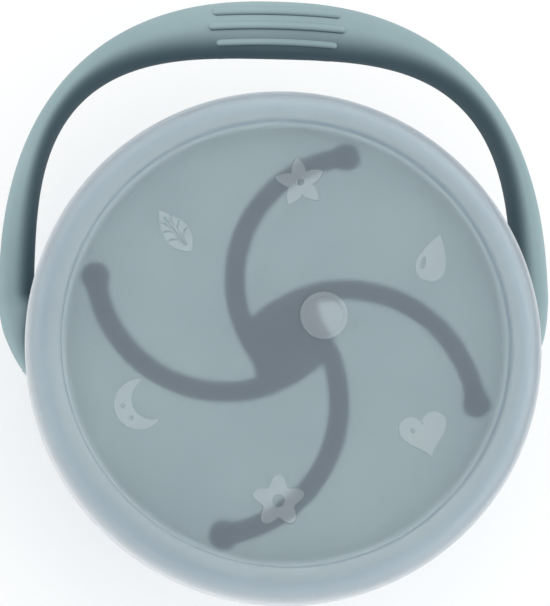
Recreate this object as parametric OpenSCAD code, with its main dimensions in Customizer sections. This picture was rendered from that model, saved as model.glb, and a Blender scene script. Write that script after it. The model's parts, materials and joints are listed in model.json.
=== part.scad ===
// Toddler snack container: a tapered cup, a collar that holds a soft top with
// four flaps, a frosted lid and a carrying handle that swings on two pins.
// Origin at the centre of the base, +Z up. The folded handle points along +Y.

/* [Lid] */
// Outer diameter of the frosted lid
lid_d = 95; // [90:0.5:104]
// Wall of the lid's skirt
lid_wall = 2.2; // [1.6:0.1:2.6]
// Width of the raised band round the sunk panel
lid_band_w = 7.1; // [6.8:0.1:8]
// Depth of the sunk panel below the band
lid_recess = 2.6; // [2.2:0.1:3.4]
// Thickness of the sunk panel
lid_panel_t = 1.4; // [1:0.1:2]
// Thickness of the band's top
lid_band_t = 1.8; // [1.2:0.1:2.2]
// Rounding of the lid's outer shoulder
lid_edge_r = 5.2; // [4.4:0.1:5.4]
// How much narrower the lid is at its shoulder than at its foot
lid_draft = 0.4; // [0.2:0.1:0.8]
// Rounding of the edge where the band drops to the panel
lid_inner_r = 0.9; // [0.4:0.1:1.4]
// Height of the gap between the soft top's bead and the panel
panel_gap = 0.4; // [0.3:0.1:1.2]
// Diameter of the plain round pad on the panel
pad_d = 8.6; // [5:0.1:12]
// Height of that pad
pad_h = 0.4; // [0.2:0.1:0.8]
// Place of the pad from the lid's centre
pad_at = [6.5, 4.2];

/* [Cup] */
// Height of the cup, from its foot to its rim
cup_h = 74.6; // [64:0.1:95]
// Outer diameter of the foot
foot_d = 69; // [60:0.5:74]
// Wall of the cup
cup_wall = 2.2; // [1.6:0.1:2.4]
// Thickness of the cup's floor
cup_floor = 2.6; // [2:0.1:4]
// Height of the straight neck below the rim
neck_h = 12.6; // [8:0.1:16]
// Rounding round the foot
foot_r = 4.5; // [3:0.1:8]
// Depth of the groove in the foot
groove_t = 0.8; // [0.4:0.1:1.2]
// Width of that groove
groove_w = 3; // [2:0.1:5]
// Width of the foot's face outside the groove
foot_ring_w = 3; // [2:0.1:5]

/* [Collar] */
// Length of the flange that reaches down over the cup's rim
flange_drop = 3.4; // [3:0.1:5]
// Height of the flange's top, where the lid stands, above the cup's rim
flange_rise = 0.4; // [0.3:0.1:1.2]
// Thickness of the neck round the cup's rim
collar_base_wall = 2.4; // [2:0.1:3]
// Wall of the neck that stands up into the lid
collar_wall = 1.9; // [1.4:0.1:2.1]
// Width of the flat on top of that neck
collar_lip_w = 0.6; // [0.4:0.1:0.9]
// Thickness of the ledge that carries the soft top
ledge_t = 2.5; // [1.6:0.1:3]
// Width of that ledge
ledge_w = 3.3; // [2.8:0.1:4.5]

/* [Soft top] */
// Thickness of the soft sheet
sheet_t = 1.3; // [1:0.1:1.6]
// Height of the bead round the sheet
bead_h = 1.2; // [0.6:0.1:1.6]
// Width of the bead
bead_w = 1.8; // [1.2:0.1:2.4]
// Distance from the collar's ledge to the middle of a slot's round end
slot_inset = 3.2; // [2.8:0.1:5]
// Diameter of the round end of a slot
slot_end_d = 5.2; // [4.4:0.1:5.4]
// Width of a slot
slot_w = 3.6; // [2.4:0.1:4]
// Radius of a slot's arc, as a share of the radius that its round end lies on
slot_bend = 0.648; // [0.635:0.001:0.665]
// Distance from the centre to a slot's inner end, as a share of the same radius
slot_reach = 0.167; // [0.162:0.001:0.172]
// Turn of the first slot's round end from +X
slot_turn = 71.7; // [60:0.1:80]
// Angle at the centre between a slot's round end and its inner end
slot_lag = 174; // [172:1:176]
// Turn back along every second slot, from its inner end to a corner of the middle opening
throat_near = 17; // [15:1:20]
// The same along the slots between them
throat_far = 31; // [28:1:34]

/* [Handle] */
// Distance from the lid's top down to the pivots
pivot_drop = 25; // [23:0.5:30]
// Distance from the pivots to the outer edge of the grip
reach = 73.3; // [66:0.1:84]
// Distance from the pivots to where the handle is widest
waist = 13; // [12:0.1:16]
// Width of the grip, seen square to the handle's plane
grip_w = 11.7; // [10:0.1:15]
// Width of an arm, seen square to the handle's plane
arm_w = 6.7; // [6:0.1:9]
// Thickness of an arm
arm_t = 9; // [8:0.1:10]
// Thickness of the grip
grip_t = 9.2; // [8:0.1:11]
// Radius of an ear, seen along the pivots
ear_r = 7.5; // [7:0.1:8.5]
// How far an ear's inner face is stepped in from the arm's
ear_step = 2; // [1:0.1:2.4]
// Radius of the sweep of an ear's outer face
ear_sweep_r = 26; // [25:0.5:34]

/* [Grip ridges] */
// Length of the middle ridge
ridge_l = 28; // [18:0.1:34]
// How much shorter the ridge nearest the edge is
ridge_cut_outer = 1.7; // [0:0.1:6]
// How much shorter the ridge nearest the cup is
ridge_cut_inner = 3.4; // [0:0.1:6]
// Distance between two ridges
ridge_pitch = 3.1; // [2.4:0.05:3.2]
// Width of a ridge
ridge_w = 1.2; // [0.8:0.1:1.4]
// Height of a ridge above the grip
ridge_h = 0.45; // [0.3:0.05:0.8]
// Radius that the ridges are bent to
ridge_bend_r = 165; // [110:5:400]

/* [Pivots] */
// Diameter of a pivot pin
pin_d = 5; // [3.5:0.1:5.4]
// Diameter of a pin's head
pin_head_d = 7.4; // [6.6:0.1:8]
// Thickness of a pin's head
pin_head_t = 1.2; // [0.8:0.1:1.6]
// Depth of a pin in its lug
pin_grip = 3.8; // [3:0.1:3.9]
// Thickness of the ear under the pin's head
ear_seat_t = 2.5; // [2:0.1:2.8]
// Radius of a lug
lug_r = 7.8; // [7:0.1:8.6]
// Diameter of a stop nose that the folded handle rests on
stop_d = 4; // [3:0.1:5]
// Distance of a stop nose from the pivots, along the arm
stop_at = 9; // [8.5:0.1:11]
// How far a stop nose reaches under the ear
stop_lap = 1.5; // [1:0.1:2]

/* [Clearances] */
// Gap round pieces that lift off or swing past each other
gap = 0.3; // [0.2:0.05:0.35]
// Gap between the lid's edge and an arm that swings past it
swing_gap = 0.4; // [0.3:0.05:0.6]
// Gap round the soft top in the collar
seat_gap = 0.05; // [0.05:0.01:0.1]
// Play under a pin's head
head_gap = 0.1; // [0.05:0.01:0.15]
// Radial running gap of a pin in its ear
pin_gap = 0.06; // [0.02:0.01:0.1]

/* [Hidden] */

// heights, from the foot up
flange_low_z = cup_h - flange_drop;
lid_low_z = cup_h + flange_rise;
ledge_top_z = cup_h + ledge_t;
sheet_top_z = ledge_top_z + sheet_t;
bead_top_z = sheet_top_z + bead_h;
panel_low_z = bead_top_z + panel_gap;
panel_top_z = panel_low_z + lid_panel_t;
lid_top_z = panel_top_z + lid_recess;
band_low_z = lid_top_z - lid_band_t;
shoulder_z = lid_top_z - lid_edge_r;
pivot_z = lid_top_z - pivot_drop;

// radii, from the lid's edge inwards
lid_r = lid_d / 2;
recess_r = lid_r - lid_band_w;
lid_skirt_in_r = lid_r - lid_wall;
shoulder = [lid_r - lid_draft - lid_edge_r, shoulder_z];
flange_r = lid_r - gap;
collar_neck_r = lid_skirt_in_r - gap;
collar_in_r = collar_neck_r - collar_wall;
recess_wall_r = collar_in_r - gap;
// inside of the lid's shoulder, as half widths from the shoulder's middle
hollow = [lid_skirt_in_r - shoulder.x, band_low_z - shoulder.y];
lip_turn = acos((collar_in_r + collar_lip_w - shoulder.x) / (hollow.x - gap));
// where that hollow starts: on the recess's wall, or at the top of its rounding
hollow_turn = recess_wall_r > shoulder.x ? acos((recess_wall_r - shoulder.x) / hollow.x) : 90;
ledge_in_r = collar_in_r - ledge_w;
cup_r = collar_neck_r - collar_base_wall - gap;
soft_top_r = collar_in_r - seat_gap;
foot_edge_r = foot_d / 2;
groove_out_r = foot_edge_r - foot_r - foot_ring_w;
neck_z = cup_h - neck_h;
cup_taper = atan((cup_r - foot_edge_r) / (neck_z - foot_r));

// slots of the soft top
slots = 4;
slot_step = 360 / slots;
slot_ring_r = ledge_in_r - slot_inset;
slot_arc_r = slot_bend * slot_ring_r;
slot_in_r = slot_reach * slot_ring_r;
mask_r = 2 * lid_r;
arc_steps = 10;

// handle, folded back: x across, s away from the pivots, n square to its plane
outer_power = 2.35;
inner_power = 3.25;
section_power = 2.7;
section_sides = 16;
arch_rings = 36;
ear_rings = 10;
arm_in_x = lid_r + swing_gap;
arm_out_x = arm_in_x + arm_w;
ear_in_x = arm_in_x - ear_step;
ear_tip = 0.2;
ear_tip_w = 0.5;
outer_rise = reach - waist;
inner_rise = outer_rise - grip_w;
sweep_lead = 1;
sweep_from = waist - sweep_lead;
step_run = 3.5;
ear_headroom = 0.7;
step_to = flange_low_z - pivot_z - ear_headroom;
step_from = step_to - step_run;
ear_blend = 10;
grip_mid = reach - grip_w / 2;
ridge_steps = 6;
ridge_lead = -0.7;

// pivots and stops
lug_face_x = ear_in_x - gap;
head_seat_x = ear_in_x + ear_seat_t;
head_low_x = head_seat_x + head_gap;
head_r = pin_head_d / 2;
pin_low_x = lug_face_x - pin_grip;
lug_root_x = foot_edge_r;
stop_z = pivot_z - ear_half_t(stop_at) - gap - stop_d / 2;
stop_out_x = ear_in_x + stop_lap;

body_color = [0.45, 0.54, 0.57];
grip_color = [0.47, 0.56, 0.58];
soft_color = [0.55, 0.62, 0.65];
lid_color = [0.72, 0.79, 0.82, 0.6];
pin_color = [0.40, 0.48, 0.51];
$fn = 96;
// how far a cutting shape runs past what it cuts
over = 1;

// points of an arc round c, or of a part of an oval where r is two half widths
function arc(c, r, from, to, steps) = let (h = is_list(r) ? r : [r, r])
    [for (i = [0:steps]) c + [h.x * cos(from + (to - from) * i / steps),
                              h.y * sin(from + (to - from) * i / steps)]];
function smooth(t) = let (u = min(max(t, 0), 1)) u * u * (3 - 2 * u);
function polar(r, a) = r * [cos(a), sin(a)];
function signed_pow(v, p) = sign(v) * pow(abs(v), p);

// ---- cup ----

module cup_outside() {
    rotate_extrude() polygon(concat(
        [[0, 0]],
        arc([foot_edge_r - foot_r, foot_r], foot_r, -90, -cup_taper, 8),
        [[cup_r, neck_z], [cup_r, cup_h], [0, cup_h]]));
}

module cup_inside() {
    inner_foot = foot_edge_r - cup_wall;
    rotate_extrude() polygon(concat(
        [[0, cup_floor]],
        arc([inner_foot - foot_r, cup_floor + foot_r], foot_r, -90, -cup_taper, 8),
        [[cup_r - cup_wall, neck_z], [cup_r - cup_wall, cup_h + over], [0, cup_h + over]]));
}

// a lug, with the bar and the two noses that the folded handle rests on
module lug() {
    difference() {
        union() {
            translate([lug_root_x, 0, pivot_z]) rotate([0, 90, 0])
                cylinder(r = lug_r, h = lug_face_x - lug_root_x);
            translate([lug_root_x, -stop_at, stop_z - stop_d / 2])
                cube([lug_face_x - lug_root_x, 2 * stop_at, stop_d]);
            for (side = [-1, 1])
                translate([lug_root_x, side * stop_at, stop_z]) rotate([0, 90, 0])
                    cylinder(d = stop_d, h = stop_out_x - lug_root_x);
        }
        translate([pin_low_x, 0, pivot_z]) rotate([0, 90, 0])
            cylinder(d = pin_d, h = pin_grip + over);
    }
}

module cup() {
    color(body_color) difference() {
        union() {
            cup_outside();
            lug();
            mirror([1, 0, 0]) lug();
        }
        cup_inside();
        rotate_extrude() translate([groove_out_r - groove_w, -over]) square([groove_w, over + groove_t]);
    }
}

// ---- collar ----

module collar() {
    color(body_color) rotate_extrude() polygon(concat(
        [[cup_r + gap, flange_low_z], [flange_r, flange_low_z], [flange_r, lid_low_z],
         [collar_neck_r, lid_low_z]],
        arc(shoulder, hollow - [gap, gap], 0, lip_turn, 6),
        [[collar_in_r, shoulder.y + (hollow.y - gap) * sin(lip_turn)],
         [collar_in_r, ledge_top_z], [ledge_in_r, ledge_top_z], [ledge_in_r, cup_h],
         [cup_r + gap, cup_h]]));
}

// ---- soft top ----

function slot_end(i) = polar(slot_ring_r, slot_turn + i * slot_step);
function slot_start(i) = polar(slot_in_r, slot_turn + slot_lag + i * slot_step);
function slot_centre(i) = let (
    p = slot_end(i), q = slot_start(i), d = norm(q - p),
    h = sqrt(slot_arc_r * slot_arc_r - d * d / 4))
    (p + q) / 2 + h * [p.y - q.y, q.x - p.x] / d;
function heading(v) = atan2(v.y, v.x);
function slot_from(i) = heading(slot_end(i) - slot_centre(i));
function slot_sweep(i) = (heading(slot_start(i) - slot_centre(i)) - slot_from(i) + 720) % 360;
function slot_point(i, back) = slot_centre(i) +
    polar(slot_arc_r, slot_from(i) + slot_sweep(i) - back);

module slot_cut(i) {
    c = slot_centre(i);
    translate([c.x, c.y, ledge_top_z - over]) rotate([0, 0, slot_from(i)])
        rotate_extrude(angle = slot_sweep(i))
            translate([slot_arc_r - slot_w / 2, 0]) square([slot_w, sheet_t + 2 * over]);
    for (p = [[slot_end(i), slot_end_d], [slot_start(i), slot_w]])
        translate([p[0].x, p[0].y, ledge_top_z - over]) cylinder(d = p[1], h = sheet_t + 2 * over);
}

module slot_cuts() {
    for (i = [0:slots - 1]) slot_cut(i);
    translate([0, 0, ledge_top_z - over]) linear_extrude(sheet_t + 2 * over)
        polygon([for (i = [0:2:slots - 1]) each
            [slot_point(i, throat_near), slot_point(i + 1, throat_far), slot_start(i + 1)]]);
}

// the square whose sides are the flaps' bending lines
module bend_square() {
    polygon([for (i = [0:slots - 1]) slot_end(i)]);
}

// everything between slot i and the next one
module between_slots(i) {
    function along(k) = arc(slot_centre(k), slot_arc_r, slot_from(k) + slot_sweep(k),
                            slot_from(k), arc_steps);
    function backwards(list) = [for (k = [len(list) - 1:-1:0]) list[k]];
    turn = slot_turn + i * slot_step;
    polygon(concat([[0, 0]], along(i),
        [polar(mask_r, turn), polar(mask_r, turn + slot_step / 2), polar(mask_r, turn + slot_step)],
        backwards(along(i + 1))));
}

module flap(i) {
    color(soft_color) difference() {
        translate([0, 0, ledge_top_z]) linear_extrude(sheet_t) intersection() {
            bend_square();
            between_slots(i);
        }
        slot_cuts();
    }
}

module soft_top_rim() {
    color(soft_color) difference() {
        translate([0, 0, ledge_top_z]) cylinder(r = soft_top_r, h = sheet_t + bead_h);
        translate([0, 0, sheet_top_z]) cylinder(r = soft_top_r - bead_w, h = bead_h + over);
        translate([0, 0, ledge_top_z - over]) linear_extrude(sheet_t + 2 * over) bend_square();
        slot_cuts();
    }
}

// ---- lid ----

module lid() {
    color(lid_color) {
        rotate_extrude() polygon(concat(
            [[lid_skirt_in_r, lid_low_z], [lid_r, lid_low_z]],
            arc(shoulder, lid_edge_r, 0, 90, 12),
            arc([recess_r + lid_inner_r, lid_top_z - lid_inner_r], lid_inner_r, 90, 180, 5),
            [[recess_r, panel_top_z], [0, panel_top_z], [0, panel_low_z],
             [recess_wall_r, panel_low_z]],
            recess_wall_r > shoulder.x ? [] : [[recess_wall_r, band_low_z]],
            arc(shoulder, hollow, hollow_turn, 0, 10)));
        translate([pad_at.x, pad_at.y, panel_low_z]) cylinder(d = pad_d, h = lid_panel_t + pad_h);
    }
}

// ---- handle ----

// distance from the waist's middle to an oval edge, at angle a from the arm
function oval(a, half, rise, power) =
    pow(pow(abs(cos(a)) / half, power) + pow(abs(sin(a)) / rise, power), -1 / power);

// outer and inner face of an ear and the arm next to it, at distance s from the pivots
function ear_out(s) = let (d = max(sweep_from - s, 0))
    arm_out_x - (ear_sweep_r - sqrt(ear_sweep_r * ear_sweep_r - d * d));
function ear_in(s) = ear_in_x + ear_step * smooth((s - step_from) / (step_to - step_from));
function ear_half_t(s) = s < 0 ? sqrt(ear_r * ear_r - s * s)
    : arm_t / 2 + (ear_r - arm_t / 2) * (1 - smooth(s / ear_blend));

// a station is [inner edge, outer edge, half thickness], edges as [x, s]
function ear_station(i) = let (s = -(ear_r - ear_tip) + (waist + ear_r - ear_tip) * i / ear_rings)
    [[ear_in(s), s], [max(ear_out(s), ear_in(s) + ear_tip_w), s], ear_half_t(s)];
function arch_station(a) = [
    [0, waist] + oval(a, arm_in_x, inner_rise, inner_power) * [cos(a), sin(a)],
    [0, waist] + oval(a, arm_out_x, outer_rise, outer_power) * [cos(a), sin(a)],
    (arm_t + (grip_t - arm_t) * pow(sin(a), 2)) / 2];
function flipped(st) = [[-st[0].x, st[0].y], [-st[1].x, st[1].y], st[2]];
stations = concat(
    [for (i = [0:ear_rings - 1]) ear_station(i)],
    [for (i = [0:arch_rings]) arch_station(180 * i / arch_rings)],
    [for (i = [ear_rings - 1:-1:0]) flipped(ear_station(i))]);

function ring(st) = [for (j = [0:section_sides - 1])
    let (a = 360 * j / section_sides,
         p = (st[0] + st[1]) / 2 + (st[1] - st[0]) / 2 * signed_pow(cos(a), 2 / section_power))
    [p.x, p.y, st[2] * signed_pow(sin(a), 2 / section_power)]];

module bow() {
    n = section_sides;
    last = len(stations) - 1;
    polyhedron(
        points = [for (st = stations) each ring(st)],
        faces = concat(
            [[for (j = [n - 1:-1:0]) j]],
            [for (i = [0:last - 1], j = [0:n - 1]) each [
                [i * n + j, (i + 1) * n + (j + 1) % n, (i + 1) * n + j],
                [i * n + j, i * n + (j + 1) % n, (i + 1) * n + (j + 1) % n]]],
            [[for (j = [0:n - 1]) last * n + j]]));
}

// how high the grip's face stands at distance off from the grip's middle
function grip_face(off) = grip_t / 2 * pow(1 - pow(abs(off) / (grip_w / 2), section_power),
                                           1 / section_power);

module ridge(off, length) {
    half_turn = asin(length / 2 / ridge_bend_r);
    top = grip_face(off) + ridge_h;
    translate([0, grip_mid + off - ridge_bend_r, 0]) linear_extrude(top) polygon(concat(
        arc([0, 0], ridge_bend_r - ridge_w / 2, 90 - half_turn, 90 + half_turn, ridge_steps),
        arc([0, 0], ridge_bend_r + ridge_w / 2, 90 + half_turn, 90 - half_turn, ridge_steps)));
}

module ridges() {
    ridge(ridge_lead + ridge_pitch, ridge_l - ridge_cut_outer);
    ridge(ridge_lead, ridge_l);
    ridge(ridge_lead - ridge_pitch, ridge_l - ridge_cut_inner);
}

module handle() {
    color(grip_color) translate([0, 0, pivot_z]) difference() {
        union() {
            bow();
            ridges();
            mirror([0, 0, 1]) ridges();
        }
        for (side = [-1, 1]) rotate([0, side * 90, 0]) {
            cylinder(r = pin_d / 2 + pin_gap, h = arm_out_x);
            translate([0, 0, head_seat_x]) cylinder(r = head_r + gap, h = arm_w + ear_step);
        }
    }
}

// ---- pivot pins ----

module pivot_pin(side) {
    color(pin_color) translate([0, 0, pivot_z]) rotate([0, side * 90, 0]) {
        translate([0, 0, pin_low_x]) cylinder(d = pin_d, h = head_low_x - pin_low_x);
        translate([0, 0, head_low_x]) cylinder(r = head_r, h = pin_head_t);
    }
}

cup();
collar();
soft_top_rim();
flap(0);  // flap_back
flap(1);  // flap_left
flap(2);  // flap_front
flap(3);  // flap_right
lid();
handle();
pivot_pin(-1);  // pivot_pin_left
pivot_pin(1);  // pivot_pin_right
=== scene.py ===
import json
import math
import bpy
import bmesh
from mathutils import Matrix, Vector
from mathutils.geometry import delaunay_2d_cdt
from mathutils.bvhtree import BVHTree


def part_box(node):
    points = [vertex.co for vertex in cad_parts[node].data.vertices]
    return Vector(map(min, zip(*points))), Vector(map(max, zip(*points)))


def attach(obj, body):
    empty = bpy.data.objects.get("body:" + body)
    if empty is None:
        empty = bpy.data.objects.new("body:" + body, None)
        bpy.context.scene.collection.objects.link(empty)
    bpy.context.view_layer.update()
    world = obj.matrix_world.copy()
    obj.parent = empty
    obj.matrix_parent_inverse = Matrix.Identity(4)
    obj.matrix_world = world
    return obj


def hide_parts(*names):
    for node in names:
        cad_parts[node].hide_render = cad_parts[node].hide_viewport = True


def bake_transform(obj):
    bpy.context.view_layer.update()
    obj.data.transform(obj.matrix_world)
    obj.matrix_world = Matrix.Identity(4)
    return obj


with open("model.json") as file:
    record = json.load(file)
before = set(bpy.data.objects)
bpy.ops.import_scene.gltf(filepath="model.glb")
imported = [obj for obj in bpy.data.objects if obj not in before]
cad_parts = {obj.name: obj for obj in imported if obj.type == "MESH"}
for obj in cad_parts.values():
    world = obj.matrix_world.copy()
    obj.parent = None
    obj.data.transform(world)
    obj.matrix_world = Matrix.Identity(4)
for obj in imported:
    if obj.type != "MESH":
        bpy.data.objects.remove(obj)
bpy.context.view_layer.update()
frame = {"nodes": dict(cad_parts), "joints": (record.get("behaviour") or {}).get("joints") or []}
print("frame loaded:", len(frame["nodes"]), "nodes")

mm = 0.001
weld = 1e-6   # points nearer than this, in metres, become one
scene = bpy.context.scene


# an sRGB colour written "#rrggbb", as picked on screen
def toLinear(hexColour):
    parts = [int(hexColour[i:i + 2], 16) / 255 for i in (1, 3, 5)]
    return [c / 12.92 if c <= 0.04045 else ((c + 0.055) / 1.055) ** 2.4 for c in parts] + [1.0]


# an S-shaped step from 0 to 1
def smooth(t):
    t = min(max(t, 0.0), 1.0)
    return t * t * (3 - 2 * t)


def arc(centre, radius, start, end, steps):
    turns = [math.radians(start + (end - start) * i / steps) for i in range(steps + 1)]
    return [(centre[0] + radius * math.cos(a), centre[1] + radius * math.sin(a)) for a in turns]


# a piece from points in millimetres, riding on its body; edges above smoothAngle stay sharp
def newPiece(name, verts, faces, material, body, replaced=(), smoothAngle=40):
    mesh = bpy.data.meshes.new(name)
    mesh.from_pydata([[c * mm for c in v] for v in verts], [], faces)
    bm = bmesh.new()
    bm.from_mesh(mesh)
    bmesh.ops.remove_doubles(bm, verts=bm.verts, dist=weld)
    bmesh.ops.recalc_face_normals(bm, faces=bm.faces)
    bm.to_mesh(mesh)
    bm.free()
    mesh.shade_smooth()
    mesh.set_sharp_from_angle(angle=math.radians(smoothAngle))
    mesh.materials.append(material)
    piece = bpy.data.objects.new(name, mesh)
    scene.collection.objects.link(piece)
    if body:
        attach(piece, body)
    if replaced:
        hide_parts(*replaced)
    return piece


# an outline of (radius, height) points turned round Z
def revolve(profile, segments, closed=True):
    verts, faces = [], []
    count = len(profile)
    for k in range(segments):
        a = 2 * math.pi * k / segments
        verts += [(r * math.cos(a), r * math.sin(a), z) for r, z in profile]
    for k in range(segments):
        here, there = k * count, (k + 1) % segments * count
        for i in range(count if closed else count - 1):
            j = (i + 1) % count
            if max(profile[i][0], profile[j][0]) > 0:   # nothing to draw along the axis
                faces.append((here + i, there + i, there + j, here + j))
    return verts, faces


# an outline of corners (radius, height, rounding), each rounded off in a few steps
def roundedOutline(corners, steps=5):
    furthest = 0.49   # of an edge's length, so that two roundings never meet
    points = []
    count = len(corners)
    for i, (r, z, rounding) in enumerate(corners):
        here = Vector((r, z))
        if rounding <= 0:
            points.append(tuple(here))
            continue
        before = Vector(corners[i - 1][:2]) - here
        after = Vector(corners[(i + 1) % count][:2]) - here
        turn = before.angle(after)
        reach = min(rounding / math.tan(turn / 2), before.length * furthest, after.length * furthest)
        a, b = here + before.normalized() * reach, here + after.normalized() * reach
        for k in range(steps + 1):
            t = k / steps
            points.append(tuple(a * (1 - t) ** 2 + here * 2 * t * (1 - t) + b * t * t))
    return points


# one shader node with its settings, its fixed inputs and what is plugged into it
def addNode(tree, kind, inputs=None, links=None, **settings):
    node = tree.nodes.new(kind)
    for key, value in settings.items():
        setattr(node, key, value)
    for key, value in (inputs or {}).items():
        node.inputs[key].default_value = value
    for key, socket in (links or {}).items():
        tree.links.new(socket, node.inputs[key])
    return node


# stops are (place, colour) from 0 to 1
def rampStops(ramp, stops):
    elements = ramp.color_ramp.elements
    while len(elements) < len(stops):
        elements.new(0.5)
    for element, (place, colour) in zip(elements, stops):
        element.position = place
        element.color = colour


def startMaterial(name):
    material = bpy.data.materials.new(name)
    material.use_nodes = True
    material.node_tree.nodes.clear()
    return material, material.node_tree


# two close tones that drift into each other over a real distance
def driftingTone(tree, place, look):
    cloud = addNode(tree, "ShaderNodeTexNoise",
                    {"Scale": 1 / (look["cloudMm"] * mm), "Detail": look["cloudDetail"]}, {"Vector": place})
    tint = addNode(tree, "ShaderNodeValToRGB", links={"Fac": cloud.outputs["Fac"]})
    rampStops(tint, [(look["toneFrom"], toLinear(look["dark"])), (1 - look["toneFrom"], toLinear(look["light"]))])
    return tint.outputs["Color"]


# The fine grain of the tool, pressed into the surface. Blasted and spark-eroded tools
# leave grains of about 0.1 mm; they are drawn at 0.3 to 0.5 mm, the finest that shows.
def toolGrain(tree, place, look):
    grain = addNode(tree, "ShaderNodeTexNoise",
                    {"Scale": 1 / (look["grainMm"] * mm), "Detail": look["grainDetail"],
                     "Roughness": look["grainBite"]}, {"Vector": place})
    bump = addNode(tree, "ShaderNodeBump",
                   {"Strength": look["grainStrength"], "Distance": look["grainDeepMm"] * mm},
                   {"Height": grain.outputs["Fac"]})
    return bump.outputs["Normal"]


def frostedPolypropylene(name, look):
    # Translucent polypropylene, moulded against a bead-blasted tool: a cold, milk-pale
    # blue that blurs what lies behind it, with a fine dull grain. It turns milkier
    # where there is more of it: in the solid band, and most in the side wall, which
    # is seen down its own length. Round the well's edge, from 40 to 41.2 mm out, it is
    # whitened more: milkier in the well's wall, and a painted highlight on the band's inner corner.
    material, tree = startMaterial(name)
    place = addNode(tree, "ShaderNodeTexCoord").outputs["Object"]
    flat = addNode(tree, "ShaderNodeVectorMath", {1: (1, 1, 0)}, {0: place}, operation="MULTIPLY")
    reach = addNode(tree, "ShaderNodeVectorMath", links={0: flat.outputs["Vector"]}, operation="LENGTH")
    across = addNode(tree, "ShaderNodeMapRange", {"From Min": 0.0, "From Max": look["rim"] * mm},
                     {"Value": reach.outputs["Value"]})
    whiten = addNode(tree, "ShaderNodeValToRGB", links={"Fac": across.outputs["Result"]})
    rampStops(whiten, [(r / look["rim"], (w, w, w, 1)) for r, w, _ in look["hazeAndHighlight"]])
    clear = addNode(tree, "ShaderNodeValToRGB", links={"Fac": across.outputs["Result"]})
    rampStops(clear, [(r / look["rim"], (t, t, t, 1)) for r, _, t in look["hazeAndHighlight"]])
    # whitening towards the edge colour: milkier where the plastic is thick, and a painted highlight on the band's
    # inner corner
    milkAndHighlight = addNode(tree, "ShaderNodeMix", {"B": toLinear(look["edge"])},
                    {"Factor": whiten.outputs["Color"], "A": driftingTone(tree, place, look)}, data_type="RGBA")
    # the fine frosting scatters a little cold light back, like a bloom
    shader = addNode(tree, "ShaderNodeBsdfPrincipled",
                     {"Roughness": look["roughness"], "IOR": 1.49, "Sheen Weight": look["bloom"],
                      "Sheen Roughness": 1.0, "Sheen Tint": toLinear(look["bloomTint"])},
                     {"Base Color": milkAndHighlight.outputs["Result"], "Transmission Weight": clear.outputs["Color"],
                      "Normal": toolGrain(tree, place, look)})
    addNode(tree, "ShaderNodeOutputMaterial", links={"Surface": shader.outputs["BSDF"]})
    return material


def mouldedSilicone():
    # Silicone rubber from a matt mould: soft, no clear highlight, with a dusty sheen.
    look = {"light": "#d0cfc7", "dark": "#c8c8c0", "cloudMm": 9, "cloudDetail": 4.0, "toneFrom": 0.3,
            "grainMm": 0.5, "grainDetail": 2.0, "grainBite": 0.5, "grainStrength": 0.1, "grainDeepMm": 0.04,
            "roughness": 0.62, "sheen": 0.12}
    material, tree = startMaterial("mouldedSilicone")
    place = addNode(tree, "ShaderNodeTexCoord").outputs["Object"]
    shader = addNode(tree, "ShaderNodeBsdfPrincipled",
                     {"Roughness": look["roughness"], "IOR": 1.41, "Sheen Weight": look["sheen"],
                      "Sheen Roughness": 0.5},
                     {"Base Color": driftingTone(tree, place, look), "Normal": toolGrain(tree, place, look)})
    addNode(tree, "ShaderNodeOutputMaterial", links={"Surface": shader.outputs["BSDF"]})
    return material


def mouldedPolypropylene():
    # Coloured polypropylene from a spark-eroded tool: satin, waxy, even, with small
    # round pits and a very slight flow cloudiness.
    look = {"light": "#869fae", "dark": "#7e97a6", "cloudMm": 30, "cloudDetail": 3.0, "toneFrom": 0.35,
            "pitMm": 0.4, "pitStrength": 0.08, "pitDeepMm": 0.03, "roughness": 0.42}
    material, tree = startMaterial("mouldedPolypropylene")
    place = addNode(tree, "ShaderNodeTexCoord").outputs["Object"]
    pits = addNode(tree, "ShaderNodeTexVoronoi", {"Scale": 1 / (look["pitMm"] * mm)}, {"Vector": place})
    bump = addNode(tree, "ShaderNodeBump",
                   {"Strength": look["pitStrength"], "Distance": look["pitDeepMm"] * mm},
                   {"Height": pits.outputs["Distance"]})
    shader = addNode(tree, "ShaderNodeBsdfPrincipled", {"Roughness": look["roughness"], "IOR": 1.49},
                     {"Base Color": driftingTone(tree, place, look), "Normal": bump.outputs["Normal"]})
    addNode(tree, "ShaderNodeOutputMaterial", links={"Surface": shader.outputs["BSDF"]})
    return material


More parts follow.
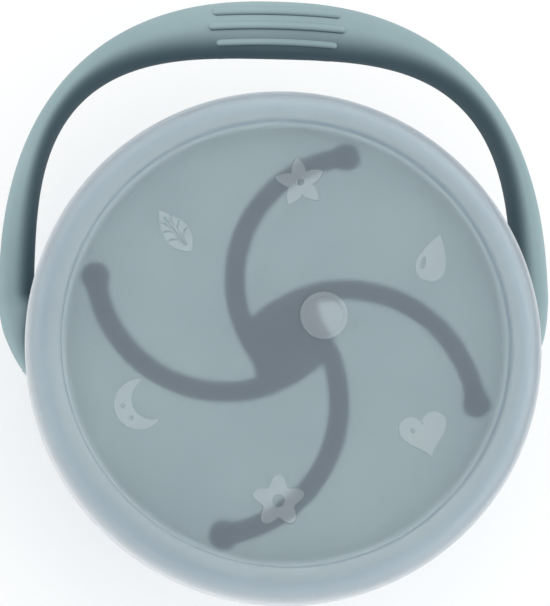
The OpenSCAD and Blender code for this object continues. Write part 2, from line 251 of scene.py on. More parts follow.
def softTouchElastomer():
    # Thermoplastic elastomer moulded over the handle: matt grey-green blue with a very
    # fine grain. The faces turned in towards the middle of the bow carry painted shade:
    # their colour goes to a dark tone, standing in for the shade of the lid and cup.
    # inner is the dark tone of the painted shade on the faces turned inwards
    look = {"light": "#91a8ab", "dark": "#879ea2", "inner": "#46585f", "cloudMm": 22, "cloudDetail": 4.0,
            "toneFrom": 0.3, "middleMm": 16, "shadeStartsAt": -0.05, "shadeFullAt": 0.95,
            "grainMm": 0.35, "grainDetail": 3.0, "grainBite": 0.5, "grainStrength": 0.12, "grainDeepMm": 0.04,
            "roughness": 0.72}
    material, tree = startMaterial("softTouchElastomer")
    coordinates = addNode(tree, "ShaderNodeTexCoord")
    place = coordinates.outputs["Object"]
    # how far a face looks back to the middle of the bow
    fromMiddle = addNode(tree, "ShaderNodeVectorMath", {1: (0, -look["middleMm"] * mm, 0)}, {0: place},
                         operation="ADD")
    flat = addNode(tree, "ShaderNodeVectorMath", {1: (-1, -1, 0)}, {0: fromMiddle.outputs["Vector"]},
                   operation="MULTIPLY")
    inwards = addNode(tree, "ShaderNodeVectorMath", links={0: flat.outputs["Vector"]}, operation="NORMALIZE")
    facing = addNode(tree, "ShaderNodeVectorMath",
                     links={0: inwards.outputs["Vector"], 1: coordinates.outputs["Normal"]},
                     operation="DOT_PRODUCT")
    # painted shade: the more a face turns in towards the middle, the nearer its colour goes to the dark inner tone
    paintedShade = addNode(tree, "ShaderNodeMapRange", {"From Min": look["shadeStartsAt"], "From Max": look["shadeFullAt"]},
                       {"Value": facing.outputs["Value"]}, interpolation_type="SMOOTHSTEP")
    colour = addNode(tree, "ShaderNodeMix", {"B": toLinear(look["inner"])},
                     {"Factor": paintedShade.outputs["Result"], "A": driftingTone(tree, place, look)}, data_type="RGBA")
    shader = addNode(tree, "ShaderNodeBsdfPrincipled", {"Roughness": look["roughness"], "IOR": 1.45},
                     {"Base Color": colour.outputs["Result"], "Normal": toolGrain(tree, place, look)})
    addNode(tree, "ShaderNodeOutputMaterial", links={"Surface": shader.outputs["BSDF"]})
    return material


def pinPolypropylene():
    # Glass-filled polypropylene for the two pins: the cup's own colour family, a touch
    # rougher and darker than the plain wall.
    look = {"body": "#6f868e", "grainMm": 0.3, "grainDetail": 2.0, "grainBite": 0.5, "grainStrength": 0.1,
            "grainDeepMm": 0.03, "roughness": 0.48}
    material, tree = startMaterial("pinPolypropylene")
    place = addNode(tree, "ShaderNodeTexCoord").outputs["Object"]
    shader = addNode(tree, "ShaderNodeBsdfPrincipled",
                     {"Base Color": toLinear(look["body"]), "Roughness": look["roughness"], "IOR": 1.49},
                     {"Normal": toolGrain(tree, place, look)})
    addNode(tree, "ShaderNodeOutputMaterial", links={"Surface": shader.outputs["BSDF"]})
    return material


# haze: distance from the middle in mm, how white, how clear. From 40 to 41.2 mm
# the whitening is partly a painted highlight on the band's inner corner.
frostLook = {"light": "#e6f3f6", "dark": "#e0edf1", "edge": "#f7f9f8", "cloudMm": 26, "cloudDetail": 3.0,
             "toneFrom": 0.35, "roughness": 0.45, "bloom": 0.075, "bloomTint": "#96c6ff", "rim": 48,
             "hazeAndHighlight": [(39.2, 0.0, 0.92), (40.0, 0.14, 0.77), (41.2, 0.12, 0.76), (43.2, 0.03, 0.8),
                      (45.4, 0.05, 0.8), (47.1, 1.0, 0.4)],
             "grainMm": 0.35, "grainDetail": 2.0, "grainBite": 0.6, "grainStrength": 0.12, "grainDeepMm": 0.05}
# the raised motifs come from a rougher patch of the tool, so they are a shade milkier
reliefLook = dict(frostLook, light="#eef7f9", dark="#e8f2f5", hazeAndHighlight=[(0, 0.0, 0.82), (40, 0.0, 0.82)])

frosted = frostedPolypropylene("frostedPolypropylene", frostLook)
relief = frostedPolypropylene("frostedRelief", reliefLook)
silicone = mouldedSilicone()
polypropylene = mouldedPolypropylene()
softTouch = softTouchElastomer()
pinPlastic = pinPolypropylene()
print("materials made")


# a node's lowest and highest corners in millimetres
def span(node):
    low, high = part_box(node)
    return [c / mm for c in low], [c / mm for c in high]


lidLow, lidHigh = span("lid")
collarLow, collarHigh = span("collar")
lidRadius, lidTop, lidFoot = lidHigh[0], lidHigh[2], lidLow[2]
cupTop = span("cup")[1][2]
joints = {j["name"]: j for j in frame["joints"]}
pivotZ = joints["handle_swing"]["pos_m"][2] / mm
sheetZ = joints["flap_back_bend"]["pos_m"][2] / mm
gap = 0.3   # between parts that come off each other


# All in millimetres. The band is the solid ring round the sunk panel, the web is the
# wall that carries the panel, the skirt grips the collar.
lidShape = {"band": 7.1, "recess": 2.6, "panel": 1.4, "wall": 2.2, "bandTop": 1.8, "shoulder": 5.2, "draft": 0.4,
            "web": 2.4, "webRound": 0.5, "hollowSteps": 24, "skirtLead": 3, "skirtIn": 0.3, "skirtOut": 0.6,
            "shoulderTurn": 84, "shoulderSteps": 32, "bandInner": 1.3, "panelCorner": 0.7, "panelStart": 2,
            "cornerSteps": 6, "bandSteps": 8, "segments": 256, "sharpAngle": 24}
panelTop = lidTop - lidShape["recess"]
# the middle of the shoulder's rounding, and the hollow inside it as two half widths
shoulder = (lidRadius - lidShape["draft"] - lidShape["shoulder"], lidTop - lidShape["shoulder"])
hollow = (lidRadius - lidShape["wall"] - shoulder[0], lidTop - lidShape["bandTop"] - shoulder[1])


def makeLid():
    s = lidShape
    panelLow = panelTop - s["panel"]
    inside = lidRadius - s["wall"]
    wellR = lidRadius - s["band"]
    webR = wellR + s["web"]
    hollowTurn = math.degrees(math.acos((webR - shoulder[0]) / hollow[0]))
    webTop = shoulder[1] + hollow[1] * math.sin(math.radians(hollowTurn))
    outline = roundedOutline([(0, panelLow, 0), (webR, panelLow, s["webRound"]), (webR, webTop, 0)],
                             s["cornerSteps"])
    for i in range(1, s["hollowSteps"] + 1):
        a = math.radians(hollowTurn * (1 - i / s["hollowSteps"]))
        outline.append((shoulder[0] + hollow[0] * math.cos(a), shoulder[1] + hollow[1] * math.sin(a)))
    outline += roundedOutline([(inside, lidFoot + s["skirtLead"], 0), (inside, lidFoot, s["skirtIn"]),
                               (lidRadius, lidFoot, s["skirtOut"]),
                               (shoulder[0] + s["shoulder"], shoulder[1], 0)], s["cornerSteps"])
    outline += arc(shoulder, s["shoulder"], 0, s["shoulderTurn"], s["shoulderSteps"])[1:]
    outline += roundedOutline([(shoulder[0], lidTop, 0), (wellR, lidTop, s["bandInner"]),
                               (wellR, panelTop, s["panelCorner"]), (wellR - s["panelStart"], panelTop, 0)],
                              s["bandSteps"])
    verts, faces = revolve(outline, s["segments"], False)
    start = len(verts)
    panelVerts, panelFaces = makePanel(outline[-1][0])
    verts += panelVerts
    faces += [tuple(start + i for i in f) for f in panelFaces]
    lid = newPiece("lidShell", verts, faces, frosted, "lid_body", ["lid"], s["sharpAngle"])
    lid.data.materials.append(relief)
    for face in lid.data.polygons:
        centre = face.center / mm
        if math.hypot(centre.x, centre.y) < wellR - 1 and centre.z > panelTop + reliefShape["polished"]:
            face.material_index = 1
    return lid


# the round pad near the middle, as rings of radius and height: a low rim and a shallow dish
padShape = {"x": 6.5, "y": 4.2, "rings": [(4.36, 0), (4.3, 0.3), (4.15, 0.4), (3.6, 0.4), (3.4, 0.24)],
            "segments": 96}

# the motifs' raised edges: how far each ring spreads and how high it lies, and from which
# height on a face belongs to the milkier top
reliefShape = {"body": [(0.14, 0), (0.05, 0.2), (-0.08, 0.28)], "cut": [(-0.1, 0), (-0.04, 0.2), (0.05, 0.28)],
               "polished": 0.21, "apart": 0.16}


# points round a circle, or round a flower if it waves
def ringOf(count, radius, wave=0.0, lobes=0, turn=0.0):
    points = []
    for i in range(count):
        a = 2 * math.pi * i / count
        r = radius * (1 + wave * math.cos(lobes * a))
        points.append((r * math.cos(a + turn), r * math.sin(a + turn)))
    return points


# points turned and sized about the middle, then placed
def moved(points, x, y, turn=0.0, size=1.0):
    c, s = math.cos(math.radians(turn)) * size, math.sin(math.radians(turn)) * size
    return [(px * c - py * s + x, px * s + py * c + y) for px, py in points]


# millimetres before each motif's own size; "round" is how many points an outline gets
leafShape = {"half": 2.3, "foot": -4.6, "length": 9.4, "fullness": 0.8, "lean": 0.25, "round": 24,
             "stem": [(-0.26, -3.4), (0.26, -3.4), (0.2, 3.2), (-0.2, 3.2)],
             "veins": [(-1.9, 1.5), (0.0, 1.6), (1.7, 1.1)], "veinFrom": 0.6, "veinRise": 0.75, "veinTip": 1.2,
             "veinTaper": 0.95, "veinWidth": 0.5}
dropShape = {"half": 3.4, "tall": 4.2, "pinch": 1.3, "sink": 0.3, "round": 48,
             "glint": (-1.35, -1.8), "glintHalf": 0.45, "glintTall": 1.1, "glintRound": 20}
starShape = {"middle": 2.2, "ray": 2.5, "curve": 1.15, "rays": 5, "raySteps": 12, "hole": 0.7, "holeRound": 20}
heartShape = {"scale": 0.26, "lift": 0.5, "round": 64, "dot": 0.5, "dotAt": (-1.9, 1.3), "dotRound": 16}
flowerShape = {"radius": 3.7, "wave": 0.24, "petals": 5, "round": 90, "eye": 1.15, "eyeRound": 28}
moonShape = {"radius": 4.4, "horn": 63, "outerRound": 40, "bite": 3.7, "biteX": 2.4, "biteHorn": 98,
             "biteRound": 32, "dots": [(0.45, 14, -2.8, 0.9), (0.4, 12, -2.3, -1.6)]}


# each motif is a list of closed outlines: its body, then what is cut out of it
def leafMotif():
    s = leafShape
    side = []
    for i in range(s["round"] + 1):
        t = i / s["round"]
        bulge = math.sin(math.pi * t) ** s["fullness"] * (1 + s["lean"] * math.cos(math.pi * t))
        side.append((s["half"] * bulge, s["foot"] + s["length"] * t))
    veins = [s["stem"]]
    for y, reach in s["veins"]:
        for way in (-1, 1):
            vein = [(way * s["veinFrom"], y), (way * reach, y + s["veinRise"]),
                    (way * reach * s["veinTaper"], y + s["veinTip"]), (way * s["veinFrom"], y + s["veinWidth"])]
            veins.append(vein if way > 0 else vein[::-1])
    return [side + [(-x, y) for x, y in reversed(side[1:-1])]] + veins


def dropMotif():
    s = dropShape
    outline = []
    for i in range(s["round"]):
        a = 2 * math.pi * i / s["round"]
        outline.append((s["half"] * math.sin(a) * math.sin(a / 2) ** s["pinch"], s["tall"] * math.cos(a) - s["sink"]))
    glint = [(x * s["glintHalf"] + s["glint"][0], y * s["glintTall"] + s["glint"][1])
             for x, y in ringOf(s["glintRound"], 1)]
    return [outline, glint]


def starMotif():
    s = starShape
    half, count = s["raySteps"] / 2, s["rays"] * s["raySteps"]
    outline = []
    for i in range(count):
        r = s["middle"] + s["ray"] * (abs(i % s["raySteps"] - half) / half) ** s["curve"]
        outline.append((r * math.sin(2 * math.pi * i / count), r * math.cos(2 * math.pi * i / count)))
    return [outline, ringOf(s["holeRound"], s["hole"])]


# the usual heart curve, with four cosines for its height
def heartMotif():
    s = heartShape
    outline = []
    for i in range(s["round"]):
        a = 2 * math.pi * i / s["round"]
        x = 16 * math.sin(a) ** 3
        y = 13 * math.cos(a) - 5 * math.cos(2 * a) - 2 * math.cos(3 * a) - math.cos(4 * a)
        outline.append((x * s["scale"], y * s["scale"] + s["lift"]))
    return [outline, moved(ringOf(s["dotRound"], s["dot"]), *s["dotAt"])]


def flowerMotif():
    s = flowerShape
    return [ringOf(s["round"], s["radius"], s["wave"], s["petals"], math.pi / 2), ringOf(s["eyeRound"], s["eye"])]


def moonMotif():
    s = moonShape
    outer = arc((0, 0), s["radius"], s["horn"], 360 - s["horn"], s["outerRound"])
    inner = arc((s["biteX"], 0), s["bite"], 360 - s["biteHorn"], s["biteHorn"], s["biteRound"])
    return [outer + inner] + [moved(ringOf(count, r), x, y) for r, count, x, y in s["dots"]]


# motif, place on the panel, turn and size
motifPlaces = [(leafMotif, -20.5, 19.5, 38, 1.0), (starMotif, 2.5, 29.0, 8, 1.0),
               (dropMotif, 27.0, 15.5, -18, 1.1), (heartMotif, 24.5, -17.5, 14, 1.05),
               (flowerMotif, -2.0, -29.0, 0, 1.0), (moonMotif, -26.5, -12.0, 24, 1.0)]


# a closed outline pushed outwards by a distance, without its crowded points
def spread(outline, distance):
    apart = reliefShape["apart"]
    kept = []
    for p in outline:
        if not kept or math.dist(p, kept[-1]) > apart:
            kept.append(p)
    if math.dist(kept[0], kept[-1]) < apart:
        kept.pop()
    area = sum(a[0] * b[1] - b[0] * a[1] for a, b in zip(kept, kept[1:] + kept[:1]))
    way = 1 if area > 0 else -1
    pushed = []
    for i, (x, y) in enumerate(kept):
        before, after = Vector(kept[i - 1]), Vector(kept[(i + 1) % len(kept)])
        along = (after - before).normalized()
        pushed.append((x + way * along.y * distance, y - way * along.x * distance))
    return pushed


# the panel's top face, one skin with its reliefs
def makePanel(edgeR):
    rings = [(ringOf(lidShape["segments"], edgeR), 0)]
    rings += [(moved(ringOf(padShape["segments"], r), padShape["x"], padShape["y"]), z) for r, z in padShape["rings"]]
    for draw, x, y, turn, size in motifPlaces:
        for k, outline in enumerate(draw()):
            for distance, height in reliefShape["cut" if k else "body"]:
                rings.append((moved(spread(outline, distance), x, y, turn, size), height))
    points, heights, edges = [], [], []
    for ring, height in rings:
        first = len(points)
        points += [Vector(p) for p in ring]
        heights += [height] * len(ring)
        edges += [(first + i, first + (i + 1) % len(ring)) for i in range(len(ring))]
    closest = 1e-4   # millimetres between two points of the net
    flat, _, faces, sources = delaunay_2d_cdt(points, edges, [], 0, closest)[:4]
    level = []
    for p, source in zip(flat, sources):
        # a point that the net adds, where two edges cross, is as high as the nearest given one
        near = source or [min(range(len(points)), key=lambda i: (points[i] - p).length_squared)]
        level.append(max(heights[i] for i in near))
    return [(p.x, p.y, panelTop + z) for p, z in zip(flat, level)], [tuple(f) for f in faces]


makeLid()
print("lid made")


# voxel and bendLength in mm: how finely the sheet is rounded, and a flap's bend length; the flaps are not bent here
softShape = {"voxel": 0.3, "soften": 0.5, "passes": 6, "bendLength": 4.0,
             "rim": "soft_top_rim", "flaps": ["flap_back", "flap_left", "flap_front", "flap_right"]}


# the rim and its flaps joined into one sheet, with its edges rounded
def roundedSheet(names):
    s = softShape
    whole = bmesh.new()
    for name in names:
        node = frame["nodes"][name]
        copied = node.data.copy()
        copied.transform(node.matrix_world)
        whole.from_mesh(copied)
        bpy.data.meshes.remove(copied)
    bmesh.ops.remove_doubles(whole, verts=whole.verts, dist=weld)
    mesh = bpy.data.meshes.new("softTop")
    whole.to_mesh(mesh)
    whole.free()
    sheet = bpy.data.objects.new("softTopWhole", mesh)
    scene.collection.objects.link(sheet)
    remesh = sheet.modifiers.new("remesh", "REMESH")
    remesh.mode = "VOXEL"
    remesh.voxel_size = s["voxel"] * mm
    soften = sheet.modifiers.new("soften", "SMOOTH")
    soften.factor = s["soften"]
    soften.iterations = s["passes"]
    rounded = bpy.data.meshes.new_from_object(sheet.evaluated_get(bpy.context.evaluated_depsgraph_get()))
    bpy.data.objects.remove(sheet)
    return rounded


# every face's owner: the rim outside the bending lines, and inside them the flap
# whose line the face's patch hangs on
def shareFaces(bm, lines):
    rim = softShape["rim"]

    def inside(point):
        return all((point - middle).dot(outward) < 0 for middle, outward in lines.values())

    owner = {face: rim for face in bm.faces if not inside(face.calc_center_median())}
    for face in bm.faces:
        if face in owner:
            continue
        patch, queue, home = {face: True}, [face], None
        while queue:
            here = queue.pop()
            for edge in here.edges:
                for other in edge.link_faces:
                    if other in patch:
                        continue
                    if owner.get(other) == rim:
                        mid = (edge.verts[0].co + edge.verts[1].co) / 2
                        home = min(lines, key=lambda n: abs((mid - lines[n][0]).dot(lines[n][1])))
                    else:
                        patch[other] = True
                        queue.append(other)
        for member in patch:
            owner[member] = home
    return owner


# the faces of one owner as a mesh of its own
def ownMesh(owner, name):
    part = bmesh.new()
    made = {}
    for face, who in owner.items():
        if who != name:
            continue
        for v in face.verts:
            if v not in made:
                made[v] = part.verts.new(v.co)
        part.faces.new([made[v] for v in face.verts])
    mesh = bpy.data.meshes.new(name + "Soft")
    part.to_mesh(mesh)
    part.free()
    mesh.shade_smooth()
    mesh.materials.append(silicone)
    return mesh


def makeSoftTop():
    s = softShape
    names = [s["rim"]] + s["flaps"]
    rounded = roundedSheet(names)
    # a bending line's middle and its outward direction, from the flap's own joint
    lines = {}
    for name in s["flaps"]:
        joint = joints[name + "_bend"]
        axis = Vector(joint["axis"]).normalized()
        lines[name] = (Vector(joint["pos_m"]), Vector((-axis.y, axis.x, 0)))
    bm = bmesh.new()
    bm.from_mesh(rounded)
    for middle, outward in lines.values():
        bmesh.ops.bisect_plane(bm, geom=bm.verts[:] + bm.edges[:] + bm.faces[:], dist=1e-8,
                               plane_co=middle, plane_no=outward)
    bm.faces.ensure_lookup_table()
    owner = shareFaces(bm, lines)
    for name in names:
        piece = bpy.data.objects.new("softTop." + name.split("_")[-1], ownMesh(owner, name))
        scene.collection.objects.link(piece)
        if name == s["rim"]:
            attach(piece, "top_ring")
        else:
            middle, outward = lines[name]
            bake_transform(piece)
        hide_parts(name)
    bm.free()
    bpy.data.meshes.remove(rounded)


makeSoftTop()
print("soft top made")


# the foot ring stands outside a shallow groove; the wall widens up to a straight neck
cupShape = {"foot": 69, "wall": 2.2, "floor": 2.6, "neck": 12.6, "neckR": 42.3, "groove": 3, "grooveDepth": 0.8,
            "ring": 3, "footRound": 4.5, "grooveRound": 0.25, "footCurve": 6.0, "innerFootCurve": 6.5,
            "neckCurve": 7.0, "rimRound": 0.5, "cornerSteps": 10, "segments": 192, "sharpAngle": 50}


def makeCup():
    s = cupShape
    foot = s["foot"] / 2
    neckZ = cupTop - s["neck"]
    grooveOut = foot - s["footRound"] - s["ring"]
    grooveIn = grooveOut - s["groove"]
    deep, soft = s["grooveDepth"], s["grooveRound"]
    inner = s["neckR"] - s["wall"]
    corners = [(0, 0, 0), (grooveIn, 0, soft), (grooveIn, deep, soft), (grooveOut, deep, soft),
               (grooveOut, 0, soft), (foot, 0, s["footCurve"]), (s["neckR"], neckZ, s["neckCurve"]),
               (s["neckR"], cupTop, s["rimRound"]), (inner, cupTop, s["rimRound"]),
               (inner, neckZ, s["neckCurve"]), (foot - s["wall"], s["floor"], s["innerFootCurve"]),
               (0, s["floor"], 0)]
    verts, faces = revolve(roundedOutline(corners, s["cornerSteps"]), s["segments"])
    return newPiece("cupShell", verts, faces, polypropylene, "cup_body", ["cup"], s["sharpAngle"])


# root, face and noseEnd are distances from the cup's middle; a bar joins the two noses
lugShape = {"root": 36.5, "face": 45.6, "radius": 7.8, "noseY": 9.0, "noseR": 2.0, "noseZ": 52.08, "noseEnd": 47.4,
            "round": 0.8, "barRound": 0.5, "cornerSteps": 6, "segments": 96, "noseSegments": 48}


# turns a piece made round Z into one round the line at y, z that points out of the cup
def alongX(verts, side, y, z):
    return [(side * vz, vx + y, vy * side + z) for vx, vy, vz in verts]


def makeLug(side, word):
    s = lugShape
    verts, faces = [], []

    def add(more, moreFaces):
        start = len(verts)
        verts.extend(more)
        faces.extend([tuple(start + i for i in f) for f in moreFaces])

    def peg(radius, end, segments):
        return revolve(roundedOutline([(0, s["root"], 0), (radius, s["root"], 0), (radius, end, s["round"]),
                                       (0, end, 0)], s["cornerSteps"]), segments)

    v, f = peg(s["radius"], s["face"], s["segments"])
    add(alongX(v, side, 0, pivotZ), f)
    v, f = peg(s["noseR"], s["noseEnd"], s["noseSegments"])
    for way in (-1, 1):
        add(alongX(v, side, way * s["noseY"], s["noseZ"]), f)
    half, edge = s["noseY"], s["barRound"]
    bar = []
    for back, shrink in ((s["face"] - s["root"], 0), (edge, 0), (edge * 0.3, edge * 0.3), (0, edge)):
        x, top = side * (s["face"] - back), s["noseR"] - shrink
        bar += [(x, -half, s["noseZ"] - top), (x, half, s["noseZ"] - top),
                (x, half, s["noseZ"] + top), (x, -half, s["noseZ"] + top)]
    barFaces = [(0, 1, 2, 3), (12, 13, 14, 15)]
    for k in range(3):
        barFaces += [(k * 4 + i, k * 4 + (i + 1) % 4, k * 4 + 4 + (i + 1) % 4, k * 4 + 4 + i) for i in range(4)]
    add(bar, barFaces)
    return newPiece("lug." + word, verts, faces, polypropylene, "cup_body")


# the collar fills the lid's hollow with a gap, and its ledge carries the soft top
collarShape = {"wall": 1.9, "ledge": 3.3, "lip": 0.6, "footIn": 0.3, "footOut": 0.8, "flangeRound": 0.5,
               "neckRound": 0.3, "lipRound": 0.25, "seatRound": 0.2, "ledgeRound": 0.4, "crownSteps": 12,
               "cornerSteps": 5, "sharpAngle": 50}


def makeCollar():
    s = collarShape
    outer, low = collarHigh[0], collarLow[2]
    neck = lidRadius - lidShape["wall"] - gap
    bore = cupShape["neckR"] + gap
    inner = neck - s["wall"]
    ledge = inner - s["ledge"]
    fit = (hollow[0] - gap, hollow[1] - gap)
    last = math.acos((inner + s["lip"] - shoulder[0]) / fit[0])
    outline = roundedOutline([(bore, low, s["footIn"]), (outer, low, s["footOut"]),
                              (outer, lidFoot, s["flangeRound"]), (neck, lidFoot, s["neckRound"])], s["cornerSteps"])
    for i in range(s["crownSteps"] + 1):
        a = last * i / s["crownSteps"]
        outline.append((shoulder[0] + fit[0] * math.cos(a), shoulder[1] + fit[1] * math.sin(a)))
    top = outline[-1][1]
    outline += roundedOutline([(inner + s["lip"] * 0.6, top, 0), (inner, top, s["lipRound"]),
                               (inner, sheetZ, s["seatRound"]), (ledge, sheetZ, s["ledgeRound"]),
                               (ledge, cupTop, s["ledgeRound"]), (bore, cupTop, s["seatRound"])], s["cornerSteps"])
    verts, faces = revolve(outline, cupShape["segments"])
    return newPiece("collarRing", verts, faces, polypropylene, "top_ring", ["collar"], s["sharpAngle"])


# inner and headLow are distances from the cup's middle; the head has a shallow dimple
pinShape = {"radius": 2.5, "inner": 41.8, "tipRound": 0.3, "headLow": 48.5, "headR": 3.7, "headT": 1.2,
            "neckRound": 0.1, "headIn": 0.2, "headOut": 0.7, "dimpleR": 1.1, "dimpleFoot": 0.8, "dimpleDeep": 0.3,
            "dimpleRound": 0.25, "dimpleIn": 0.15, "cornerSteps": 6, "segments": 72, "sharpAngle": 50}


def makePin(side, word):
    s = pinShape
    top = s["headLow"] + s["headT"]
    corners = [(0, s["inner"], 0), (s["radius"], s["inner"], s["tipRound"]),
               (s["radius"], s["headLow"], s["neckRound"]), (s["headR"], s["headLow"], s["headIn"]),
               (s["headR"], top, s["headOut"]), (s["dimpleR"], top, s["dimpleRound"]),
               (s["dimpleFoot"], top - s["dimpleDeep"], s["dimpleIn"]), (0, top - s["dimpleDeep"], 0)]
    verts, faces = revolve(roundedOutline(corners, s["cornerSteps"]), s["segments"])
    return newPiece("pin." + word, alongX(verts, side, 0, pivotZ), faces, pinPlastic, "cup_body",
                    ["pivot_pin_" + word], s["sharpAngle"])


makeCup()
makeCollar()
for side, word in ((-1, "left"), (1, "right")):
    makeLug(side, word)
    makePin(side, word)
print("cup, collar and pins made")


# The bow lies flat behind the cup: two ears on the pins, straight arms up to the waist,
# then an arch between two ovals. The section is fullest at its crest, nearer the
# outside, and squarer there than on the inside.
handleShape = {"armIn": 47.9, "armOut": 54.6, "earIn": 45.9, "earStep": 2.0, "waist": 13, "outerRise": 60.3,
               "innerRise": 48.6, "outerPower": 2.35, "innerPower": 3.25, "armT": 9.0, "gripT": 9.2,
               "outerSoft": 2.6, "innerSoft": 2.15, "crest": 0.54, "earR": 7.5, "sweepR": 26, "sweepFrom": 12,
               "stepFrom": 8, "stepTo": 11.5, "earBlend": 10, "tipWidth": 0.5, "tipHalf": 0.05,
               "sides": 64, "archRings": 150, "earRings": 36, "bore": 2.56, "boreFrom": 40, "pocket": 4.0,
               "pocketFrom": 48.4, "cutTo": 60, "cutSegments": 72, "sharpAngle": 40}


# how far out an oval of this half width and rise lies at the angle a
def oval(a, half, rise, power):
    return ((abs(math.cos(a)) / half) ** power + (abs(math.sin(a)) / rise) ** power) ** (-1 / power)


def signedPower(value, power):
    return math.copysign(abs(value) ** power, value)


# a station is the bow's inner point, its outer point and half its thickness there;
# d is the distance past the pin
def earStation(d):
    s = handleShape
    drop = max(s["sweepFrom"] - d, 0)
    outer = s["armOut"] - (s["sweepR"] - math.sqrt(s["sweepR"] ** 2 - drop ** 2))
    inner = s["earIn"] + s["earStep"] * smooth((d - s["stepFrom"]) / (s["stepTo"] - s["stepFrom"]))
    if d < 0:
        half = math.sqrt(max(s["earR"] ** 2 - d ** 2, s["tipHalf"] ** 2))
    else:
        half = s["armT"] / 2 + (s["earR"] - s["armT"] / 2) * (1 - smooth(d / s["earBlend"]))
    return (inner, d), (max(outer, inner + s["tipWidth"]), d), half


def archStation(a):
    s = handleShape
    inner = oval(a, s["armIn"], s["innerRise"], s["innerPower"])
    outer = oval(a, s["armOut"], s["outerRise"], s["outerPower"])
    half = (s["armT"] + (s["gripT"] - s["armT"]) * math.sin(a) ** 2) / 2
    return ((inner * math.cos(a), s["waist"] + inner * math.sin(a)),
            (outer * math.cos(a), s["waist"] + outer * math.sin(a)), half)


def handleStations():
    s = handleShape
    ears = []
    turns = s["earRings"] // 3
    for i in range(turns):
        ears.append(earStation(-s["earR"] * math.cos(math.pi / 2 * i / turns)))
    straight = s["earRings"] - turns
    for i in range(straight):
        ears.append(earStation(s["waist"] * i / straight))
    arch = [archStation(math.pi * i / s["archRings"]) for i in range(s["archRings"] + 1)]
    mirrored = [((-i[0], i[1]), (-o[0], o[1]), half) for i, o, half in reversed(ears)]
    return ears + arch + mirrored


def makeHandle():
    s = handleShape
    stations = handleStations()
    count = s["sides"]
    verts, faces = [], []
    for inner, outer, half in stations:
        for j in range(count):
            a = 2 * math.pi * j / count
            power = 2 / (s["outerSoft"] if math.cos(a) > 0 else s["innerSoft"])
            across = signedPower(math.cos(a), power)
            share = s["crest"] + (1 - s["crest"] if across > 0 else s["crest"]) * across
            verts.append((inner[0] + (outer[0] - inner[0]) * share, inner[1] + (outer[1] - inner[1]) * share,
                          pivotZ + half * signedPower(math.sin(a), power)))
    last = len(stations) - 1
    for i in range(last):
        for j in range(count):
            k = (j + 1) % count
            faces.append((i * count + j, (i + 1) * count + j, (i + 1) * count + k, i * count + k))
    faces.append(tuple(range(count)))
    faces.append(tuple(last * count + j for j in reversed(range(count))))
    piece = newPiece("handleBow", verts, faces, softTouch, None)
    for side in (-1, 1):   # a bore for the pin and a pocket for its head
        for radius, start in ((s["bore"], s["boreFrom"]), (s["pocket"], s["pocketFrom"])):
            v, f = revolve([(0, start), (radius, start), (radius, s["cutTo"]), (0, s["cutTo"])], s["cutSegments"])
            cutter = newPiece("cutter", alongX(v, side, 0, pivotZ), f, softTouch, None)
            cut = piece.modifiers.new("cut", "BOOLEAN")
            cut.operation = "DIFFERENCE"
            cut.solver = "EXACT"
            cut.object = cutter
            drilled = bpy.data.meshes.new_from_object(piece.evaluated_get(bpy.context.evaluated_depsgraph_get()))
            piece.modifiers.clear()
            piece.data = drilled
            bpy.data.objects.remove(cutter)
    piece.data.shade_smooth()
    piece.data.set_sharp_from_angle(angle=math.radians(s["sharpAngle"]))
    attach(piece, "handle_body")
    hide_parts("handle")
    return piece


# three on each face of the grip, from its outer edge inwards
ridgeShape = {"middle": 67.45, "lead": -0.7, "pitch": 3.1, "lengths": (26.3, 28.0, 24.6), "width": 1.65,
              "height": 0.45, "sunk": 0.35, "bend": 165, "steps": 48, "sides": 20, "tip": 0.02,
              "lookFrom": 30, "sharpAngle": 60}


# a low rounded rib that follows the grip's surface
def makeRidge(bow, off, length, face, word):
    s = ridgeShape
    grip = BVHTree.FromObject(bow, bpy.context.evaluated_depsgraph_get())
    verts, faces = [], []
    half = s["width"] / 2
    rise = (s["height"] + s["sunk"]) / 2
    for i in range(s["steps"] + 1):
        t = -math.cos(math.pi * i / s["steps"])
        turn = length / 2 * t / s["bend"]
        x = s["bend"] * math.sin(turn)
        y = s["middle"] + off - s["bend"] * (1 - math.cos(turn))
        start = Vector((x, y, pivotZ + face * s["lookFrom"])) * mm
        z = grip.ray_cast(start, Vector((0, 0, -face)))[0].z / mm
        fromEnd = length / 2 * (1 - abs(t))
        scale = math.sqrt(max(1 - (1 - min(fromEnd / half, 1)) ** 2, s["tip"] ** 2))
        for j in range(s["sides"]):
            a = 2 * math.pi * j / s["sides"]
            verts.append((x + half * scale * math.cos(a) * math.sin(turn),
                          y + half * scale * math.cos(a) * math.cos(turn),
                          z + face * ((s["height"] - s["sunk"]) / 2 + rise * scale * math.sin(a))))
    n = s["sides"]
    for i in range(s["steps"]):
        faces += [(i * n + j, (i + 1) * n + j, (i + 1) * n + (j + 1) % n, i * n + (j + 1) % n) for j in range(n)]
    faces += [tuple(range(n)), tuple(s["steps"] * n + j for j in reversed(range(n)))]
    return newPiece("ridge." + word, verts, faces, softTouch, "handle_body", (), s["sharpAngle"])


bow = makeHandle()
for face, faceWord in ((1, "Top"), (-1, "Under")):
    for i, length in enumerate(ridgeShape["lengths"]):
        off = ridgeShape["lead"] + ridgeShape["pitch"] * (1 - i)
        makeRidge(bow, off, length, face, faceWord + str(i + 1))
print("handle made")


# place and aim in mm, lens and sensor as on a full-frame camera, roll in degrees
view = {"place": (-21.38, -33.85, 306.86), "aim": (-2.57, 5.92, 84.0), "lens": 75.5, "roll": -0.4,
        "sensor": 36, "nearest": 0.01}


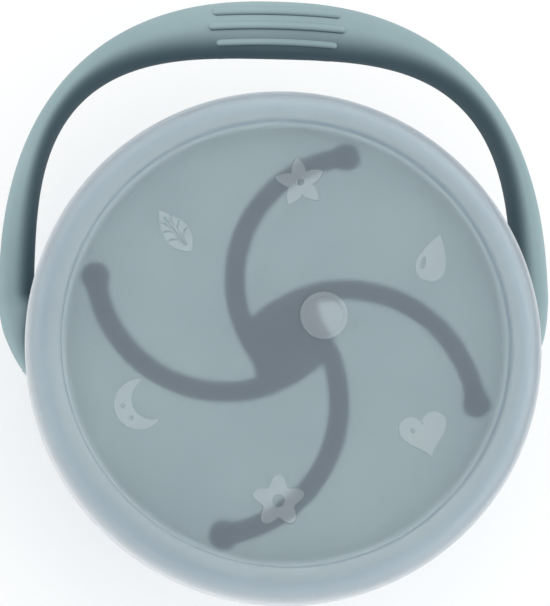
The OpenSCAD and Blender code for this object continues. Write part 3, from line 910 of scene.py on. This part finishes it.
def makeCamera():
    place, aim = Vector(view["place"]) * mm, Vector(view["aim"]) * mm
    back = (place - aim).normalized()
    right = Vector((0, 1, 0)).cross(back).normalized()
    up = back.cross(right)
    camera = bpy.data.objects.new("camera", bpy.data.cameras.new("camera"))
    turned = Matrix((right, up, back)).transposed().to_4x4() @ Matrix.Rotation(math.radians(view["roll"]), 4, "Z")
    camera.matrix_world = Matrix.Translation(place) @ turned
    camera.data.lens = view["lens"]
    camera.data.sensor_width = view["sensor"]
    camera.data.sensor_fit = "AUTO"
    camera.data.clip_start = view["nearest"]
    scene.collection.objects.link(camera)
    scene.camera = camera


# A tent of soft light all round the table and less from straight above, where the camera
# hangs. The tent's stops are the height, from 0 straight below to 1 straight above, and
# the brightness there; lean makes one side brighter than the other.
studio = {"strength": 1.42, "tent": [(0.5, 0.92), (0.8, 1.0), (0.97, 0.6)], "coolness": 1.01, "lean": 0.12,
          "floor": "#fafaf9", "floorRoughness": 0.9, "floorHalf": 1.5}


def makeStudio():
    world = bpy.data.worlds.new("softStudio")
    world.use_nodes = True
    tree = world.node_tree
    way = addNode(tree, "ShaderNodeTexCoord").outputs["Generated"]
    parts = addNode(tree, "ShaderNodeSeparateXYZ", links={"Vector": way})
    height = addNode(tree, "ShaderNodeMapRange", {"From Min": -1.0, "From Max": 1.0}, {"Value": parts.outputs["Z"]})
    tent = addNode(tree, "ShaderNodeValToRGB", links={"Fac": height.outputs["Result"]})
    rampStops(tent, [(z, (v, v, v * studio["coolness"], 1)) for z, v in studio["tent"]])
    side = addNode(tree, "ShaderNodeMapRange",
                   {"From Min": -1.0, "From Max": 1.0, "To Min": studio["strength"] * (1 - studio["lean"]),
                    "To Max": studio["strength"] * (1 + studio["lean"])}, {"Value": parts.outputs["X"]})
    background = tree.nodes["Background"]
    tree.links.new(tent.outputs["Color"], background.inputs["Color"])
    tree.links.new(side.outputs["Result"], background.inputs["Strength"])
    scene.world = world
    mesh = bpy.data.meshes.new("floor")
    half = studio["floorHalf"]
    mesh.from_pydata([(-half, -half, 0), (half, -half, 0), (half, half, 0), (-half, half, 0)], [], [(0, 1, 2, 3)])
    floor = bpy.data.objects.new("floor", mesh)
    material, tree = startMaterial("paleFloor")
    shader = addNode(tree, "ShaderNodeBsdfPrincipled",
                     {"Base Color": toLinear(studio["floor"]), "Roughness": studio["floorRoughness"]})
    addNode(tree, "ShaderNodeOutputMaterial", links={"Surface": shader.outputs["BSDF"]})
    mesh.materials.append(material)
    scene.collection.objects.link(floor)
    scene.view_settings.view_transform = "Standard"


makeCamera()
makeStudio()
print("camera and studio made")
